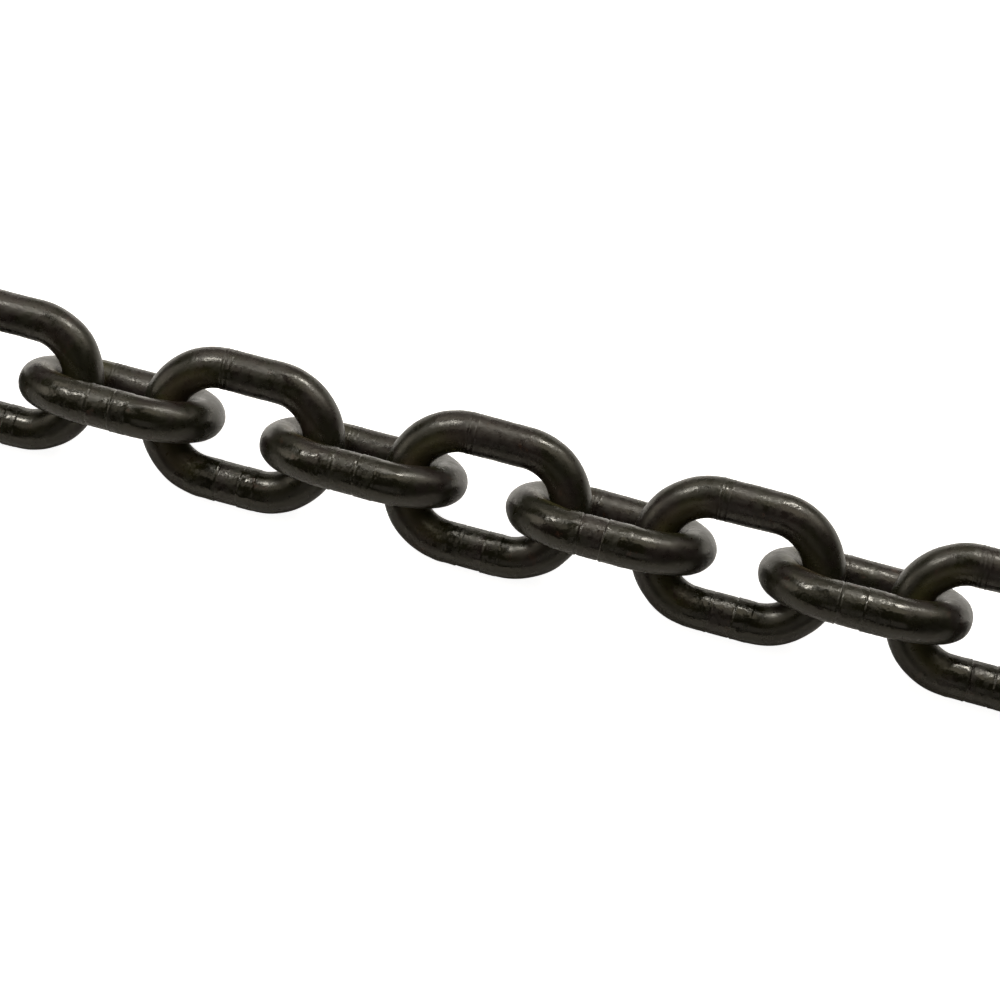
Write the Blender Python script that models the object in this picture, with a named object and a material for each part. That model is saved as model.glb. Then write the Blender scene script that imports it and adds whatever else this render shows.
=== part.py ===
"""A metre of short-link alloy steel chain, laid out straight on a floor.

The links lean alternately to the left and to the right, each on its lower leg, as a straight chain
comes to rest. Units are metres, +Z is up, +X runs along the chain, and the floor is at z = 0.
"""

from math import cos, pi, radians, sin

import bpy

# Driving dimensions of the chain
WIRE_DIAMETER = 0.013
PITCH = 0.039
LINK_OUTER_WIDTH = 0.048
LINK_COUNT = 25
RUNNING_GAP = 0.0003
LEAN = radians(45)

# Roundness of the solids
WIRE_SIDES = 12
BENDS_PER_CROWN = 10

# Sizes that follow from them
WIRE_RADIUS = WIRE_DIAMETER / 2
HALF_WIDTH = LINK_OUTER_WIDTH / 2 - WIRE_RADIUS
HALF_LENGTH = (PITCH + WIRE_DIAMETER + RUNNING_GAP) / 2
CROWN_CENTRE = HALF_LENGTH - HALF_WIDTH
FACET_RADIUS = WIRE_RADIUS * cos(pi / WIRE_SIDES)
AXIS_HEIGHT = HALF_WIDTH * sin(LEAN) + FACET_RADIUS
MIDDLE_LINK = (LINK_COUNT + 1) // 2


def clear_scene():
    for old in list(bpy.data.objects):
        bpy.data.objects.remove(old)


def new_collection(name):
    collection = bpy.data.collections.new(name)
    bpy.context.scene.collection.children.link(collection)
    return collection


def steel_material():
    """Hardened alloy steel with the thin dark scale that tempering leaves."""
    material = bpy.data.materials.new("dark_tempered_steel")
    material.use_nodes = True
    shader = material.node_tree.nodes["Principled BSDF"]
    shader.inputs["Base Color"].default_value = (0.035, 0.028, 0.026, 1.0)
    shader.inputs["Metallic"].default_value = 0.6
    shader.inputs["Roughness"].default_value = 0.42
    return material


def link_route():
    """Corner points of a link's centre line, anticlockwise in its own XY plane.

    Each crown is half a circle. Its sides touch that circle at their middles, so one of them crosses
    the tip squarely and the first and last run on into the straight legs.
    """
    turn = pi / BENDS_PER_CROWN
    corner_radius = HALF_WIDTH / cos(turn / 2)
    points = []
    for crown in (0, 1):
        for bend in range(BENDS_PER_CROWN):
            angle = -pi / 2 + turn * (bend + 0.5) + crown * pi
            shift = CROWN_CENTRE if crown == 0 else -CROWN_CENTRE
            points.append((shift + corner_radius * cos(angle), corner_radius * sin(angle)))
    return points


def link_shape(material):
    """Round bar bent to a closed link, long axis on X, lying in the XY plane."""
    shape = bpy.data.curves.new("short_link", "CURVE")
    shape.dimensions = "2D"
    shape.fill_mode = "NONE"
    shape.bevel_depth = WIRE_RADIUS
    shape.bevel_resolution = (WIRE_SIDES - 4) // 2
    route = link_route()
    spline = shape.splines.new("POLY")
    spline.points.add(len(route) - 1)
    for point, (x, y) in zip(spline.points, route):
        point.co = (x, y, 0.0, 1.0)
    spline.use_cyclic_u = True
    spline.use_smooth = True
    shape.materials.append(material)
    return shape


def new_empty(name, parent, collection):
    empty = bpy.data.objects.new(name, None)
    empty.empty_display_size = WIRE_DIAMETER
    empty.parent = parent
    collection.objects.link(empty)
    return empty


def new_link(number, shape, parent, collection):
    link = bpy.data.objects.new(f"link_{number:02d}", shape)
    link.parent = parent
    collection.objects.link(link)
    return link


def add_branch(first, direction, shape, collection):
    """Hooks links on to the middle one, outwards to one end of the chain.

    A pivot stands at the tip of each link's crown, in the middle of its bar. The next link hangs on
    that pivot, a quarter turn round from the link before it.
    """
    inner = first
    lean_change = -2 * LEAN
    links_out = LINK_COUNT - MIDDLE_LINK
    for step in range(1, links_out + 1):
        number = MIDDLE_LINK + direction * step
        pivot = new_empty(f"pivot_{number:02d}", inner, collection)
        pivot.location.x = direction * HALF_LENGTH
        pivot.rotation_euler.x = lean_change
        inner = new_link(number, shape, pivot, collection)
        inner.location.x = direction * (PITCH - HALF_LENGTH)
        lean_change = -lean_change


clear_scene()
chain = new_collection("alloy_steel_chain")
link_curve = link_shape(steel_material())
lay = new_empty("chain_axis", None, chain)
lay.location.z = AXIS_HEIGHT
lay.rotation_euler.x = LEAN
middle = new_link(MIDDLE_LINK, link_curve, lay, chain)
add_branch(middle, 1, link_curve, chain)
add_branch(middle, -1, link_curve, chain)
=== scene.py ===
"""A metre of short-link alloy steel chain on a pale studio floor.

Every link is one bar, bent to an oval ring and flash-welded shut in the middle of its near leg. The
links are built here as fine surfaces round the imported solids, and each moves with its own body.
Lengths are in metres.
"""

from itertools import product
from math import cos, pi, radians, sin

import bpy
import numpy as np
from mathutils import Matrix, Vector


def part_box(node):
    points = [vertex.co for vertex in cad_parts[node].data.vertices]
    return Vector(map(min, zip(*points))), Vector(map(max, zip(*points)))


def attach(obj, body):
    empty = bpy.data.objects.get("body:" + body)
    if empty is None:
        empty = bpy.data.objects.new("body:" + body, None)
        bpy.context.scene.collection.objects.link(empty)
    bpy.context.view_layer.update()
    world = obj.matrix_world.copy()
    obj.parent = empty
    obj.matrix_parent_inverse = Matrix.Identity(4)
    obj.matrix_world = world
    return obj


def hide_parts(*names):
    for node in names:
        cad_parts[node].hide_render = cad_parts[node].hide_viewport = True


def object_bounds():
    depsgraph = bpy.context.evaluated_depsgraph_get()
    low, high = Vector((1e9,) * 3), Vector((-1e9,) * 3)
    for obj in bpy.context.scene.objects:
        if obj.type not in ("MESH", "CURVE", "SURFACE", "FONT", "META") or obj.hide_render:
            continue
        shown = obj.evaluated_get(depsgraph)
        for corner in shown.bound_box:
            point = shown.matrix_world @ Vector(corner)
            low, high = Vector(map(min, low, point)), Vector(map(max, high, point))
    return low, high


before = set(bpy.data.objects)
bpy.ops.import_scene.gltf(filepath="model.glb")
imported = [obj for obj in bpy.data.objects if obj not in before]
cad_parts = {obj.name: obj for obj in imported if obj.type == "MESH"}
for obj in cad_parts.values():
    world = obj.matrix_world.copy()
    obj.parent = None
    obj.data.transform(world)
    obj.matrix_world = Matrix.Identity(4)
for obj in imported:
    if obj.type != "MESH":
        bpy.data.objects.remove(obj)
packed_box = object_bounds()


# The camera
# A long lens looks down on the middle of the chain from the front, a little from the right. Its
# angles are those that fit the outline of the nine links in view.
CAMERA_AIM = Vector((0.00446, -0.00058, 0.01865))
CAMERA_DISTANCE = 0.75375
CAMERA_TURN = radians(14.042)
CAMERA_TILT = radians(90 - 58.104)
CAMERA_ROLL = radians(2.811)
LENS_MM = 90
SENSOR_MM = 36

camera_data = bpy.data.cameras.new("camera")
camera_data.lens = LENS_MM
camera_data.sensor_width = SENSOR_MM
camera_data.clip_start = 0.05
camera_data.clip_end = 50
camera = bpy.data.objects.new("camera", camera_data)
bpy.context.scene.collection.objects.link(camera)
looking = (
    Matrix.Rotation(CAMERA_TURN, 4, "Z")
    @ Matrix.Rotation(CAMERA_TILT, 4, "X")
    @ Matrix.Rotation(CAMERA_ROLL, 4, "Z")
)
backwards = looking @ Vector((0, 0, 1))
camera.matrix_world = Matrix.Translation(CAMERA_AIM + CAMERA_DISTANCE * backwards) @ looking
bpy.context.scene.camera = camera


# The bent bar of a link
# Round alloy steel bar, bent hot round a former to two half circles with short straight legs between
# them. The bar is slightly uneven, and handling has dented it.
BAR_RADIUS = 0.00636
HALF_WIDTH = 0.01726
HALF_LENGTH = 0.02603
CROWN_CENTRE = HALF_LENGTH - HALF_WIDTH
LEG = 2 * CROWN_CENTRE
CROWN = pi * HALF_WIDTH
ROUND = 2 * LEG + 2 * CROWN
CROWN_TIP = ROUND / 4
TIP_REACH = 0.008
TIP_FADE = 0.006
FAR_LEG = ROUND / 2

RINGS = 338
SIDES = 57
FINE_STRETCHES = ((-0.0100, 0.0090), (-FAR_LEG + 0.0058, -FAR_LEG + 0.0098))
FINE_STRETCH_FADE = 0.002
FINE_STEP = 0.00021
COARSE_STEP = 0.00062
TRIAL_PLACES = 4001

NOISE_CUBES = 32
SLOW_HEIGHT = 0.00016
SLOW_SIZE = 0.0085
QUICK_HEIGHT = 0.00005
QUICK_SIZE = 0.0034
DENTS = 40
DENT_WIDTHS = (0.0008, 0.0026)
DENT_DEPTHS = (0.03, 0.09)
RUBBED_AWAY = 0.85
RUBBED_SIDE = (0.0, 0.7)


def smooth_step(value, low, high):
    """0 below low and 1 above high, with the curve 3t^2 - 2t^3 between them."""
    part = np.clip((value - low) / (high - low), 0, 1)
    return part * part * (3 - 2 * part)


def near(along, place, reach, fade):
    """1 within a reach of a place along the bar, sinking to 0 by a smooth step as wide as the fade."""
    return smooth_step(-np.abs(along - place), -reach - fade, -reach)


def bell(gap, width):
    """A Gaussian hump: e to the power of minus the square of gap over width."""
    return np.exp(-((gap / width) ** 2))


def ring_places():
    """Distances along the bar from the near leg's middle, closer together where there are fine marks.

    The number of rings up to a place is the sum of one over the step there, so equal shares of that
    sum give the places.
    """
    along = np.linspace(-ROUND / 2, ROUND / 2, TRIAL_PLACES)
    step = np.full(along.shape, COARSE_STEP)
    for start, end in FINE_STRETCHES:
        inside = near(along, (start + end) / 2, (end - start) / 2, FINE_STRETCH_FADE)
        step += (FINE_STEP - COARSE_STEP) * inside
    count = np.concatenate([[0], np.cumsum(2 / (step[1:] + step[:-1]))])
    return np.interp(np.arange(RINGS) / RINGS * count[-1], count, along)


def centre_line(along):
    """Point and outward direction of the bar's centre line, at distances from the near leg's middle.

    The near leg is the one at -Y, and the line runs on from it towards +X: a straight half leg, a
    half circle about the crown's centre, the far leg, the other half circle, and the first half leg.
    """
    place = np.mod(along + LEG / 2, ROUND)
    second = place >= LEG + CROWN
    place = np.where(second, place - LEG - CROWN, place)
    on_leg = np.minimum(place, LEG)
    angle = np.maximum(place - LEG, 0) / HALF_WIDTH
    outward = np.stack([np.sin(angle), -np.cos(angle)], axis=-1)
    point = HALF_WIDTH * outward
    point[:, 0] += on_leg - CROWN_CENTRE
    turn = np.where(second, -1.0, 1.0)[:, None]
    return point * turn, outward * turn


def bar_skin(along, angle, radius):
    """Points of the bar's skin, in rings that stand across the centre line.

    A point is the centre line's own plus the radius times the cosine of the angle outward in the
    link's plane, and the radius times the sine of the angle along the link's Z.
    """
    middle, outward = centre_line(along[:, 0])
    points = np.zeros((*along.shape, 3))
    points[..., :2] = middle[:, None] + (radius * np.cos(angle))[..., None] * outward[:, None]
    points[..., 2] = radius * np.sin(angle)
    return points


def lattice_noise(points, size, seed):
    """Smooth heights from -1 to 1: random numbers on a grid of cubes, blended between its corners."""
    corners = np.random.default_rng(seed).uniform(-1, 1, (NOISE_CUBES, NOISE_CUBES, NOISE_CUBES))
    place = points / size
    cube = np.floor(place).astype(int)
    part = smooth_step(place - cube, 0, 1)
    height = np.zeros(points.shape[:-1])
    for corner in product((0, 1), repeat=3):
        share = np.where(corner, part, 1 - part).prod(axis=-1)
        index = np.mod(cube + corner, NOISE_CUBES)
        height += share * corners[index[..., 0], index[..., 1], index[..., 2]]
    return height


def handling_marks(along, angle, points, seed):
    """How far the bar's skin stands off its true radius: slow and quick unevenness, and small dents.

    A dent is a Gaussian hollow about a random place, as wide along the bar as round it, and its
    depth is a share of its width. Inside the crowns, where the next link rubs, the skin is worn
    nearly smooth.
    """
    random = np.random.default_rng(seed)
    relief = SLOW_HEIGHT * lattice_noise(points, SLOW_SIZE, seed + 1)
    relief += QUICK_HEIGHT * lattice_noise(points, QUICK_SIZE, seed + 2)
    for _ in range(DENTS):
        place = random.uniform(-ROUND / 2, ROUND / 2)
        side = random.uniform(0, 2 * pi)
        width = random.uniform(*DENT_WIDTHS)
        depth = random.uniform(*DENT_DEPTHS) * width
        gap_along = np.mod(along - place + ROUND / 2, ROUND) - ROUND / 2
        gap_round = (np.mod(angle - side + pi, 2 * pi) - pi) * BAR_RADIUS
        relief -= depth * bell(np.hypot(gap_along, gap_round), width)
    inner_side = smooth_step(-np.cos(angle), *RUBBED_SIDE)
    at_tip = near(np.abs(along), CROWN_TIP, TIP_REACH, TIP_FADE)
    return relief * (1 - RUBBED_AWAY * inner_side * at_tip)


# The weld
# The bar's two ends are pressed together red hot and fuse in the near leg. A smooth dull band is left
# between two fine rings, the skin beyond it is swollen and lumpy where the flash was trimmed off, and
# a clamp has left three fine ridges round the far leg.
WELDS_IN_VIEW = {
    9: 0.0005, 10: -0.0004, 11: -0.0001, 12: -0.0011, 13: -0.0004,
    14: -0.0034, 15: -0.0004, 16: -0.0034, 17: 0.0002,
}
WELD_RANGE = (-0.0034, 0.0005)
BAND_HALF = 0.00375
BAND_EDGE = 0.0006
BAND_SMOOTHED = 0.5

RING_WIDTH = 0.00028
RING_WANDER = 0.00025
RING_STRENGTHS = (0.6, 1.5)
LIP_HEIGHT = 0.00009
GROOVE_DEPTH = 0.00013

BACK_MARKS = (0.0064, 0.0080, 0.0090)
BACK_MARK_STRAY = 0.0002
BACK_MARK_HEIGHTS = (0.00008, 0.00013)

SWELLING = (-0.0090, 0.0082)
SWELLING_RISE = 0.003
SWELLING_STEP = 0.0004
SWELLING_HEIGHT = 0.00008
LUMP_HEIGHT = 0.00006
LARGE_LUMP = 0.0023
SMALL_LUMP = 0.0011
SMALL_LUMP_SHARE = 0.5


def weld_place(number):
    """Where along the leg the weld sits: as in the photograph, or at random within the same range."""
    if number in WELDS_IN_VIEW:
        return WELDS_IN_VIEW[number]
    return np.random.default_rng(number).uniform(*WELD_RANGE)


def welded_band(along, weld):
    """1 in the smooth band between the weld's rings, and 0 outside it."""
    return near(along, weld, BAND_HALF - BAND_EDGE / 2, BAND_EDGE)


def weld_marks(along, angle, points, weld, seed):
    """Relief of the weld, and the share of the plain skin's marks that is left there.

    A ring is a groove with a lip outside it, both Gaussian, and wanders along the bar as the sine of
    the angle. A back mark is a Gaussian ridge round the far leg. The swelling is a low plateau under
    lumps of two sizes, rises slowly at its left end, and ends in a short step at its right one.
    """
    random = np.random.default_rng(seed)
    relief = np.zeros(points.shape[:-1])
    for side in (-1, 1):
        wander = RING_WANDER * np.sin(angle + random.uniform(0, 2 * pi))
        gap = side * (along - weld - wander) - BAND_HALF
        strength = random.uniform(*RING_STRENGTHS)
        relief += strength * LIP_HEIGHT * bell(gap - RING_WIDTH, RING_WIDTH)
        relief -= strength * GROOVE_DEPTH * bell(gap + RING_WIDTH, RING_WIDTH)
    for mark in BACK_MARKS:
        stray = random.uniform(-BACK_MARK_STRAY, BACK_MARK_STRAY) + BACK_MARK_STRAY * np.cos(angle)
        relief += random.uniform(*BACK_MARK_HEIGHTS) * bell(along + FAR_LEG - mark - stray, RING_WIDTH)
    band = welded_band(along, weld)
    left, right = SWELLING
    swelling = smooth_step(along, left - SWELLING_RISE, left)
    swelling = swelling * smooth_step(-along, -right - SWELLING_STEP, -right) * (1 - band)
    lumps = lattice_noise(points, LARGE_LUMP, seed + 11)
    lumps += SMALL_LUMP_SHARE * lattice_noise(points, SMALL_LUMP, seed + 12)
    relief += swelling * (SWELLING_HEIGHT + LUMP_HEIGHT * lumps)
    return relief, 1 - BAND_SMOOTHED * band


# The scale on the steel
# Hardening and tempering leave a thin dark film of scale, with oil over it: almost black, olive and
# brown by turns, and painted paler inside the bends as painted light. It shines where the welder's
# jaws pressed it and where the links rub, and fine flecks of rust have come through.
PLAIN_SHINE = 0.36
CROWN_SHINE = 0.06
JAW_SHINE = 0.75
# Along the bar from the weld: middle and width of the left jaw's patch, start and end of the right's
LEFT_PATCH = {"odd": (-0.0066, 0.0032), "even": (-0.0105, 0.0052)}
RIGHT_PATCH = {"odd": (0.0038, 0.0090), "even": (0.0080, 0.0115)}
RIGHT_PATCH_RISE = 0.0016
RIGHT_PATCH_FADE = 0.0045
RING_PATCH = (0.0034, 0.0012)
RING_SHINE = 0.6
FAR_SHOULDERS = ((FAR_LEG - 0.0135, 0.0035, 0.35), (-FAR_LEG + 0.0140, 0.0040, 0.20))

GRIPPED_REACH = 0.012
GRIPPED_FADE = 0.008
CROWN_UNEVEN = 0.35
NEAR_LEG_UNEVEN = 0.65
FAR_LEG_UNEVEN = 0.35
PRESSED_SMOOTH = 0.9
PRESSED_FROM = (0.0075, 0.0095)

TINTED_REACH = 0.008
TINTED_FADE = 0.012
PLAIN_OLIVE = 0.02
NEAR_LEG_OLIVE = 0.11
FAR_LEG_BROWN = 0.08
BAND_BROWN = 0.15

# Painted light: the skin is paler on the inner half of the bars in the crowns, fully in the left crowns
# and thinly in the right ones, standing in for light that the lamps bring too little of there.
PAINTED_LIGHT_REACH = 0.018
PAINTED_LIGHT_FADE = 0.012
PAINTED_LIGHT_SIDE = (-0.35, 0.25)
RIGHT_CROWN_PAINTED_LIGHT = 0.2

OLIVE_TO_BROWN = (
    (0.30, (0.0045, 0.0041, 0.0016)),
    (0.45, (0.0066, 0.0064, 0.0024)),
    (0.56, (0.0087, 0.0061, 0.0050)),
    (0.72, (0.0125, 0.0087, 0.0074)),
)
# The paler colours of that painted light, picked by the same blotches as the skin.
PAINTED_LIGHT_OLIVE_TO_BROWN = ((0.40, (0.041, 0.037, 0.012)), (0.60, (0.044, 0.033, 0.019)))
RUST = (0.026, 0.013, 0.008, 1)
SPECULAR_TINT = (0.98, 0.93, 0.81, 1.0)
DULLEST = 0.43
SHINIEST = 0.16
SHINE_RANGE = (-0.1, 1.1)

BLOTCHES = {"per_metre": 90, "detail": 4}
RUST_FLECKS = {"per_metre": 190, "detail": 5, "roughness": 0.65}
RUST_SHOWS = (0.62, 0.70)
SHINE_PATCHES = {"per_metre": 420, "detail": 2}
PATCH_CONTRAST = 0.85
SHINE_GRAIN = {"per_metre": 1000, "detail": 3, "roughness": 0.6}
GRAIN_CONTRAST = 0.3
USUAL_NOISE = (0.3, 0.7)
PITS = {"per_metre": 480, "detail": 1}
PIT_DEPTH = 0.00015
FINE_PITS = {"per_metre": 1300, "detail": 1}
FINE_PIT_DEPTH = 0.000065
DRAWN_LINES = {"per_metre": 1000, "detail": 2}
LINE_DEPTH = 0.00002
LINE_STRETCH = 0.10


def worn_bright(along, weld, number):
    """How shiny the skin is, 0 to 1.

    It shines where the welder's jaws pressed it on both sides of the weld, in a narrow patch by the
    right ring, and on the far leg's shoulders, where the links rub. The patches are Gaussian along
    the bar, the right jaw's with a flat top. The links are welded in two passes, every second one in
    each, and the jaws sat closer together in the odd one.
    """
    gap = along - weld
    welding_pass = "odd" if number % 2 else "even"
    left, left_width = LEFT_PATCH[welding_pass]
    right, right_end = RIGHT_PATCH[welding_pass]
    beyond = np.maximum(gap - right_end, 0)
    shine = JAW_SHINE * bell(gap - left, left_width)
    shine += JAW_SHINE * smooth_step(gap, right, right + RIGHT_PATCH_RISE) * bell(beyond, RIGHT_PATCH_FADE)
    shine += RING_SHINE * bell(gap - RING_PATCH[0], RING_PATCH[1])
    for place, width, height in FAR_SHOULDERS:
        shine += height * bell(along - place, width)
    on_crown = near(np.abs(along), CROWN_TIP, TIP_REACH, TIP_FADE)
    return np.clip(PLAIN_SHINE + CROWN_SHINE * on_crown + shine, 0, 1)


def unevenness(along):
    """Share of the fine unevenness, 0 to 1: full on the near leg, where the tools gripped it.

    It is less on the far leg and least on the crowns, and on the near leg's right end, which a jaw
    has pressed nearly smooth.
    """
    on_near_leg = near(along, 0, GRIPPED_REACH, GRIPPED_FADE)
    on_far_leg = near(np.abs(along), FAR_LEG, GRIPPED_REACH, GRIPPED_FADE)
    left_rough = 1 - PRESSED_SMOOTH * smooth_step(along, *PRESSED_FROM)
    return CROWN_UNEVEN + NEAR_LEG_UNEVEN * on_near_leg * left_rough + FAR_LEG_UNEVEN * on_far_leg


def brownness(along, weld):
    """Shift of the skin's colour from olive, below 0, to brown, above 0.

    The near leg is the most olive, but for the welded band in it, which has been red hot and is
    brown. The far leg is brown too.
    """
    on_near_leg = near(along, 0, TINTED_REACH, TINTED_FADE)
    on_far_leg = near(np.abs(along), FAR_LEG, TINTED_REACH, TINTED_FADE)
    brown = BAND_BROWN * welded_band(along, weld) + FAR_LEG_BROWN * on_far_leg
    return brown - PLAIN_OLIVE - NEAR_LEG_OLIVE * on_near_leg


def painted_light_share(along, angle):
    """Share of painted light, 0 to 1: a paler skin on the inner half of the bar, in the crowns.

    It is full in the left crown and thin in the right one, and reaches a little way on to the legs.
    """
    on_crown = near(np.abs(along), CROWN_TIP, PAINTED_LIGHT_REACH, PAINTED_LIGHT_FADE)
    inner_half = smooth_step(-np.cos(angle), *PAINTED_LIGHT_SIDE)
    return on_crown * inner_half * np.where(along < 0, 1.0, RIGHT_CROWN_PAINTED_LIGHT)


def new_node(tree, kind, inputs=(), **settings):
    """Adds a node, sets its properties, and sets or links its inputs by name or number."""
    node = tree.nodes.new(kind)
    for name, value in settings.items():
        setattr(node, name, value)
    for name, value in dict(inputs).items():
        if isinstance(value, bpy.types.NodeSocket):
            tree.links.new(value, node.inputs[name])
        else:
            node.inputs[name].default_value = value
    return node


def worked_out(tree, operation, *values):
    """The result of a sum on two or three numbers, each a plain one or another node's."""
    return new_node(tree, "ShaderNodeMath", enumerate(values), operation=operation).outputs[0]


def held_by_mesh(tree, name):
    """A number that the mesh holds at each of its points."""
    return new_node(tree, "ShaderNodeAttribute", attribute_name=name).outputs["Fac"]


def colour_steps(tree, factor, steps):
    """A colour ramp through the given (place, colour) steps."""
    ramp = new_node(tree, "ShaderNodeValToRGB", {"Fac": factor})
    places = ramp.color_ramp.elements
    while len(places) < len(steps):
        places.new(0.5)
    for element, (place, colour) in zip(places, steps):
        element.position = place
        element.color = (*colour, 1.0)
    return ramp.outputs["Color"]


def spread(tree, value, low, high, to_low, to_high):
    """Maps a value's range from low to high on to the range from to_low to to_high."""
    return new_node(
        tree, "ShaderNodeMapRange",
        {"Value": value, "From Min": low, "From Max": high, "To Min": to_low, "To Max": to_high},
    ).outputs["Result"]


def mixed(tree, share, colour, other):
    """A colour, or another one where the share is 1. The other one may be a plain colour."""
    node = new_node(tree, "ShaderNodeMix", data_type="RGBA")
    tree.links.new(share, node.inputs[0])
    tree.links.new(colour, node.inputs[6])
    if isinstance(other, bpy.types.NodeSocket):
        tree.links.new(other, node.inputs[7])
    else:
        node.inputs[7].default_value = other
    return node.outputs[2]


def noise(tree, vector, per_metre, detail, roughness=0.5):
    """Cloudy noise about 0.5: so many clouds to the metre, with finer ones in them by the detail."""
    return new_node(
        tree, "ShaderNodeTexNoise",
        {"Vector": vector, "Scale": per_metre, "Detail": detail, "Roughness": roughness},
    ).outputs["Fac"]


def tempered_steel():
    """The links' material: blotches of colour with painted light inside the crowns and rust over them,
    patchy shine, and fine bumps.
    """
    material = bpy.data.materials.new("tempered_steel")
    material.use_nodes = True
    tree = material.node_tree
    shader = tree.nodes["Principled BSDF"]
    where = new_node(tree, "ShaderNodeTexCoord").outputs["Object"]
    bar = new_node(tree, "ShaderNodeAttribute", attribute_name="bar_place").outputs["Vector"]
    uneven = held_by_mesh(tree, "unevenness")

    blotches = worked_out(tree, "ADD", noise(tree, where, **BLOTCHES), held_by_mesh(tree, "brownness"))
    skin = colour_steps(tree, blotches, OLIVE_TO_BROWN)
    painted_light_colour = colour_steps(tree, blotches, PAINTED_LIGHT_OLIVE_TO_BROWN)
    # Painted light: the paler colours are mixed in on the inner side of the crowns.
    with_painted_light = mixed(tree, held_by_mesh(tree, "painted_light_share"), skin, painted_light_colour)
    rusty = spread(tree, noise(tree, where, **RUST_FLECKS), *RUST_SHOWS, 0, 1)
    tree.links.new(mixed(tree, rusty, with_painted_light, RUST), shader.inputs["Base Color"])

    patches = noise(tree, where, **SHINE_PATCHES)
    grain = noise(tree, where, **SHINE_GRAIN)
    patchy = worked_out(
        tree, "ADD",
        spread(tree, patches, *USUAL_NOISE, -PATCH_CONTRAST, PATCH_CONTRAST),
        spread(tree, grain, *USUAL_NOISE, -GRAIN_CONTRAST, GRAIN_CONTRAST),
    )
    shine = worked_out(tree, "MULTIPLY_ADD", patchy, uneven, held_by_mesh(tree, "worn_bright"))
    tree.links.new(spread(tree, shine, *SHINE_RANGE, DULLEST, SHINIEST), shader.inputs["Roughness"])

    stretched = new_node(
        tree, "ShaderNodeMapping", {"Vector": bar, "Scale": (LINE_STRETCH, 1.0, 1.0)}
    ).outputs["Vector"]
    bumps = (
        (noise(tree, where, **PITS), PIT_DEPTH),
        (noise(tree, where, **FINE_PITS), FINE_PIT_DEPTH),
        (noise(tree, stretched, **DRAWN_LINES), LINE_DEPTH),
    )
    normal = None
    for height, depth in bumps:
        bump = new_node(tree, "ShaderNodeBump", {"Height": height, "Strength": uneven, "Distance": depth})
        if normal:
            tree.links.new(normal, bump.inputs["Normal"])
        normal = bump.outputs["Normal"]
    tree.links.new(normal, shader.inputs["Normal"])
    shader.inputs["Metallic"].default_value = 0.0
    shader.inputs["Specular Tint"].default_value = SPECULAR_TINT
    shader.inputs["Specular IOR Level"].default_value = 0.5
    return material


# The row of links
# Each link is one piece of steel, hooked through the next and leaning the other way from it, on its
# lower leg, as a straight chain comes to rest. It replaces its own solid and moves with its body.
LEAN = radians(45)
PATTERN_SHIFT = 0.1


def link_mesh(number, lean, centre):
    """The skin of one link, placed in the row.

    Its rings stand at the bar's radius plus the relief of the dents and of the weld. The whole link
    then turns by its lean about the chain's axis and moves to its centre.
    """
    along, angle = np.meshgrid(ring_places(), np.arange(SIDES) / SIDES * 2 * pi, indexing="ij")
    plain = bar_skin(along, angle, np.full(along.shape, BAR_RADIUS))
    seed = 100 * number
    weld = weld_place(number)
    relief, kept = weld_marks(along, angle, plain, weld, seed)
    radius = BAR_RADIUS + kept * handling_marks(along, angle, plain, seed) + relief
    points = bar_skin(along, angle, radius)

    placed = np.empty_like(points)
    placed[..., 0] = points[..., 0] + centre.x
    placed[..., 1] = points[..., 1] * cos(lean) - points[..., 2] * sin(lean) + centre.y
    placed[..., 2] = points[..., 1] * sin(lean) + points[..., 2] * cos(lean) + centre.z
    placed = np.clip(placed, packed_box[0], packed_box[1])

    ring, side = np.meshgrid(np.arange(RINGS), np.arange(SIDES), indexing="ij")
    next_ring = (ring + 1) % RINGS
    next_side = (side + 1) % SIDES
    faces = np.stack([
        ring * SIDES + side,
        next_ring * SIDES + side,
        next_ring * SIDES + next_side,
        ring * SIDES + next_side,
    ], axis=-1).reshape(-1, 4)
    mesh = bpy.data.meshes.new(f"chain_link_{number:02d}")
    mesh.from_pydata(placed.reshape(-1, 3).tolist(), [], faces.tolist())
    mesh.shade_smooth()

    unbent = np.stack([np.abs(along), radius * np.cos(angle), radius * np.sin(angle)], axis=-1)
    bar_place = mesh.attributes.new("bar_place", "FLOAT_VECTOR", "POINT")
    bar_place.data.foreach_set("vector", (unbent + PATTERN_SHIFT * number).astype(np.float32).ravel())
    shares = {
        "worn_bright": worn_bright(along, weld, number),
        "unevenness": unevenness(along),
        "brownness": brownness(along, weld),
        "painted_light_share": painted_light_share(along, angle),
    }
    for name, share in shares.items():
        attribute = mesh.attributes.new(name, "FLOAT", "POINT")
        attribute.data.foreach_set("value", share.astype(np.float32).ravel())
    return mesh


steel = tempered_steel()
row_middle = (packed_box[0] + packed_box[1]) / 2
link_count = len(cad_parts)
for number in range(1, link_count + 1):
    node = f"link_{number:02d}"
    low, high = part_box(node)
    centre = Vector(((low[0] + high[0]) / 2, row_middle.y, row_middle.z))
    mesh = link_mesh(number, LEAN if number % 2 else -LEAN, centre)
    mesh.materials.append(steel)
    piece = bpy.data.objects.new(f"chain_link_{number:02d}", mesh)
    bpy.context.scene.collection.objects.link(piece)
    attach(piece, node)
    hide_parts(node)


# The floor
# A plain white table, which is not part of the chain. The camera sees it overexposed, with only a
# trace of the shadow under the chain. A strip of it behind the chain is a painted pool of light: it
# glows, though it is no lamp, and the glow lights the bars from below.
FLOOR_HALF = 6.0
FLOOR_WHITE = (0.68, 0.66, 0.62, 1)
OVEREXPOSED = 0.93
PAINTED_POOL_GLOW = 0.34
PAINTED_POOL_RISES = (0.0, 0.03)
PAINTED_POOL_FADES = (0.12, 0.35)

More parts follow.
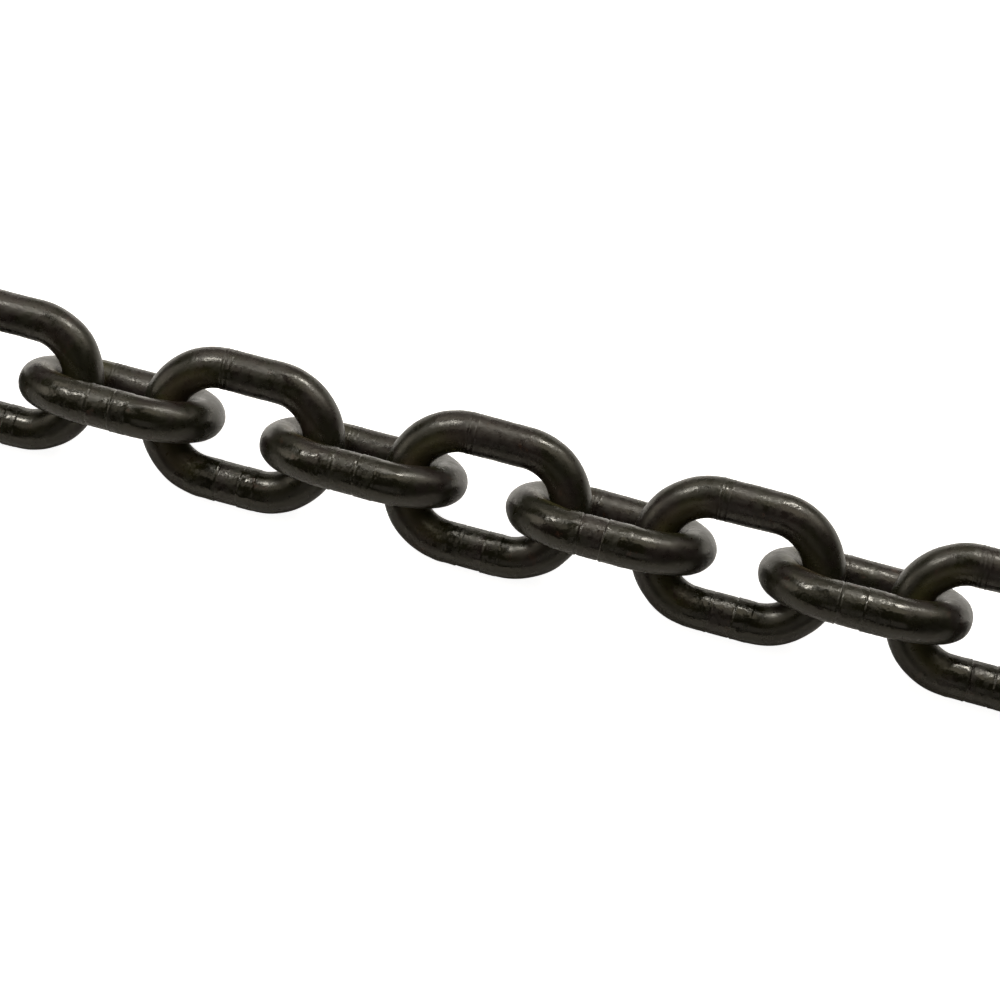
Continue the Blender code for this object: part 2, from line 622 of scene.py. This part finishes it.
floor_mesh = bpy.data.meshes.new("floor")
floor_corners = [(x * FLOOR_HALF, y * FLOOR_HALF, 0) for x, y in ((-1, -1), (1, -1), (1, 1), (-1, 1))]
floor_mesh.from_pydata(floor_corners, [], [(0, 1, 2, 3)])
white = bpy.data.materials.new("white_table")
white.use_nodes = True
table = white.node_tree
table_shader = table.nodes["Principled BSDF"]
table_shader.inputs["Base Color"].default_value = FLOOR_WHITE
table_shader.inputs["Roughness"].default_value = 1.0
table_shader.inputs["Specular IOR Level"].default_value = 0.0
table_shader.inputs["Emission Color"].default_value = (1, 1, 1, 1)
by_camera = new_node(table, "ShaderNodeLightPath").outputs["Is Camera Ray"]
glare = worked_out(table, "MULTIPLY", by_camera, OVEREXPOSED)
on_table = new_node(table, "ShaderNodeTexCoord").outputs["Object"]
behind = new_node(table, "ShaderNodeSeparateXYZ", {"Vector": on_table}).outputs["Y"]
# Painted pool of light: the table glows in a strip just behind the chain, though it is no lamp.
rising = spread(table, behind, *PAINTED_POOL_RISES, 0, PAINTED_POOL_GLOW)
fading = spread(table, behind, *PAINTED_POOL_FADES, 1, 0)
painted_pool = worked_out(table, "MULTIPLY", rising, fading)
table.links.new(worked_out(table, "MAXIMUM", glare, painted_pool), table_shader.inputs["Emission Strength"])
floor_mesh.materials.append(white)
floor = bpy.data.objects.new("floor", floor_mesh)
bpy.context.scene.collection.objects.link(floor)


# The light
# Two softboxes with bright bulbs in their middles hang over the chain and behind it, with one lamp
# between them and a third bulb at the back right: they draw the bright streaks along the bars. White
# sails and walls on all sides give the softer light, and the room beyond is dim.
WHITE = (1, 1, 1)
WARM = (1.0, 0.94, 0.84)
SUNNY = (1.0, 0.94, 0.80)
ROSY = (1.0, 0.95, 0.92)
DOWN = (0, 0, -1)
RIG_TURN = radians(32)
ROOM_BRIGHTNESS = 0.035


def lamp(name, place, size, brightness, colour=WHITE, facing=None, roll=0):
    """A rectangular lamp at a place, with its brightness where white is 1.

    It faces the middle of the chain, or the way that it is given, and rolls about that way.
    """
    data = bpy.data.lights.new(name, "AREA")
    data.shape = "RECTANGLE"
    data.size, data.size_y = size
    data.energy = brightness * pi * size[0] * size[1]
    data.color = colour
    away = -Vector(facing) if facing else Vector(place)
    turn = away.to_track_quat("Z", "Y").to_matrix().to_4x4()
    lamp_object = bpy.data.objects.new(name, data)
    lamp_object.visible_camera = False
    lamp_object.matrix_world = Matrix.Translation(place) @ turn @ Matrix.Rotation(roll, 4, "Z")
    bpy.context.scene.collection.objects.link(lamp_object)


lamp("left_softbox", (-0.56, 0.23, 1.00), (0.62, 0.36), 1.6, facing=DOWN, roll=RIG_TURN)
lamp("left_bulb", (-0.58, 0.22, 0.99), (0.32, 0.16), 27.0, facing=DOWN, roll=RIG_TURN)
lamp("right_softbox", (0.28, 0.72, 1.00), (0.58, 0.34), 1.4, facing=DOWN, roll=RIG_TURN)
lamp("right_bulb", (0.26, 0.70, 0.99), (0.32, 0.15), 35.5, facing=DOWN, roll=RIG_TURN)
lamp("third_bulb", (0.74, 1.02, 0.99), (0.25, 0.19), 14.0, facing=DOWN, roll=RIG_TURN)
lamp("top_sail", (0.28, 0.18, 1.06), (0.65, 0.50), 1.45, SUNNY, facing=DOWN)
lamp("between", (-0.11, 0.53, 1.00), (0.31, 0.28), 4.5, facing=DOWN, roll=RIG_TURN)
lamp("back_left", (-0.80, 0.90, 1.00), (0.60, 0.60), 1.0, WARM, facing=DOWN)
lamp("far_right", (0.85, 0.50, 1.00), (0.50, 0.50), 1.0, WARM, facing=DOWN)
lamp("back_wall", (0.1, 1.5, 0.40), (4.0, 0.8), 0.32, WARM, facing=(0, -1, 0))
lamp("back_sail", (0.0, 1.25, 1.30), (3.0, 1.1), 0.82, WARM)
lamp("left_wall", (-1.40, -0.25, 0.70), (0.85, 0.75), 1.7, WARM)
lamp("left_sail", (-0.65, -0.30, 1.25), (0.8, 0.8), 0.8, WARM)
lamp("right_sail", (1.10, 0.90, 0.95), (0.7, 0.7), 1.0, WARM)
lamp("front_wall", (0.35, -1.9, 0.90), (1.4, 1.0), 0.37, ROSY)

world = bpy.data.worlds.new("room")
world.use_nodes = True
room = world.node_tree
room.nodes.clear()
seen = new_node(room, "ShaderNodeLightPath").outputs["Is Camera Ray"]
dim = new_node(room, "ShaderNodeBackground", {"Color": (*WARM, 1), "Strength": ROOM_BRIGHTNESS})
bright = new_node(room, "ShaderNodeBackground", {"Color": (*WHITE, 1), "Strength": 1.0})
both = new_node(room, "ShaderNodeMixShader", {0: seen, 1: dim.outputs[0], 2: bright.outputs[0]})
new_node(room, "ShaderNodeOutputWorld", {"Surface": both.outputs[0]})
bpy.context.scene.world = world

bpy.context.scene.view_settings.view_transform = "Standard"
bpy.context.scene.view_settings.look = "None"
